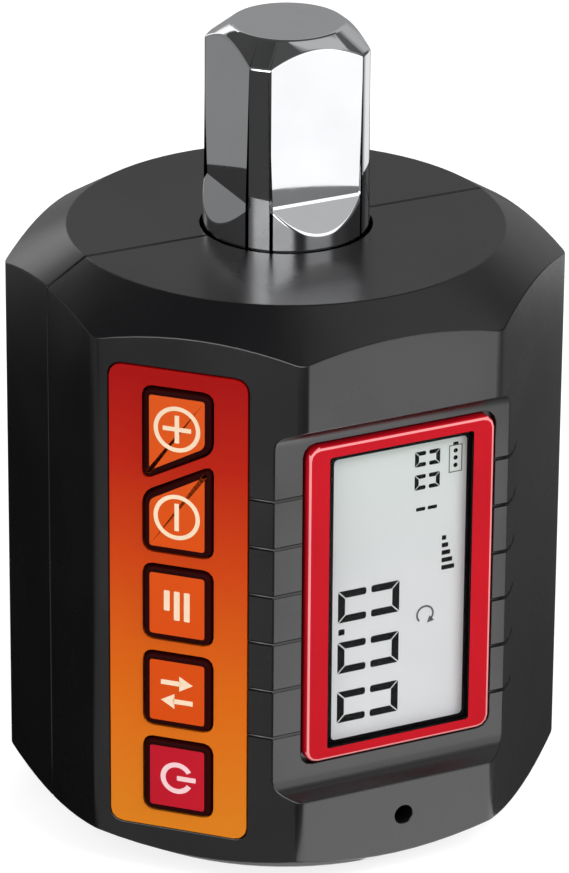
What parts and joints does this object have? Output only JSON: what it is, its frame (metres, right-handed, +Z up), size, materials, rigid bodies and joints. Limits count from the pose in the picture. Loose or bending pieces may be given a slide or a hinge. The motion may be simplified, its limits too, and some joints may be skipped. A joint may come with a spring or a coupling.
{
  "type": "digital torque adapter",
  "caption": "Eight-sided digital torque adapter: steel shaft with a male square drive above and a square socket below, sunk display panel, keypad facet and battery cover.",
  "frame": {"origin": "centre of the body's underside, on the axis of the torque shaft", "axes": "+Z up along the shaft towards the male square; the display looks along -Y; the keypad facet lies between -Y and -X; the battery cover looks along +Y"},
  "size_m": [0.05, 0.05, 0.0789],
  "materials": {
    "housing": "semi-gloss moulded plastic",
    "chrome": "bright chrome plate",
    "steel": "plated",
    "bronze": "sintered",
    "seal": "moulded",
    "gauge_foil": "polyimide film",
    "bezel": "gloss moulded plastic",
    "window": "clear",
    "lcd": "reflective display",
    "board": "solder mask",
    "chip": "moulded",
    "overlay": "printed film",
    "key": "printed film",
    "key_red": "printed film",
    "cell": "printed sleeve"
  },
  "bodies": {
    "root": {"front_housing": "housing", "rear_housing": "housing", "housing_screw_1": "steel", "housing_screw_2": "steel", "housing_screw_3": "steel", "housing_screw_4": "steel", "torque_shaft": "chrome", "detent_spring": "steel", "upper_bush": "bronze", "lower_bush": "bronze", "upper_retaining_ring": "steel", "lower_retaining_ring": "steel", "shaft_seal": "seal", "locking_pin": "steel", "strain_gauge_front": "gauge_foil", "strain_gauge_rear": "gauge_foil", "display_bezel": "bezel", "display_window": "window", "lcd_module": "lcd", "main_board": "board", "main_board_screw_1": "steel", "main_board_screw_2": "steel", "controller_chip": "chip", "gauge_amplifier": "chip", "sounder": "chip", "keypad_overlay": "overlay", "dome_switch_1": "steel", "dome_switch_2": "steel", "dome_switch_3": "steel", "dome_switch_4": "steel", "dome_switch_5": "steel", "key_board": "board", "key_board_screw_1": "steel", "key_board_screw_2": "steel", "battery_1": "cell", "battery_2": "cell", "battery_bridge_contact": "steel", "battery_plus_contact": "steel", "battery_minus_contact": "steel"},
    "plus_key": {"key_plus": "key"},
    "minus_key": {"key_minus": "key"},
    "mode_key": {"key_mode": "key"},
    "units_key": {"key_units": "key"},
    "power_key": {"key_power": "key_red"},
    "spring_ball": {"detent_ball": "steel"},
    "cover": {"battery_cover": "housing", "battery_cover_screw": "steel"}
  },
  "joints": [
    {"name": "plus_key_press", "type": "slide", "parent": "root", "child": "plus_key", "axis": [0.7071, 0.7071, 0], "range_m": [0, 0.00035], "stiffness_N_per_m": 600},
    {"name": "minus_key_press", "type": "slide", "parent": "root", "child": "minus_key", "axis": [0.7071, 0.7071, 0], "range_m": [0, 0.00035], "stiffness_N_per_m": 600},
    {"name": "mode_key_press", "type": "slide", "parent": "root", "child": "mode_key", "axis": [0.7071, 0.7071, 0], "range_m": [0, 0.00035], "stiffness_N_per_m": 600},
    {"name": "units_key_press", "type": "slide", "parent": "root", "child": "units_key", "axis": [0.7071, 0.7071, 0], "range_m": [0, 0.00035], "stiffness_N_per_m": 600},
    {"name": "power_key_press", "type": "slide", "parent": "root", "child": "power_key", "axis": [0.7071, 0.7071, 0], "range_m": [0, 0.00035], "stiffness_N_per_m": 600},
    {"name": "spring_ball_press", "type": "slide", "parent": "root", "child": "spring_ball", "axis": [0, -1, 0], "range_m": [0, 0.0009], "stiffness_N_per_m": 1200, "deforming": ["detent_spring"]},
    {"name": "battery_cover_lift", "type": "slide", "parent": "root", "child": "cover", "axis": [0, 1, 0], "range_m": [0, 0.02]}
  ]
}
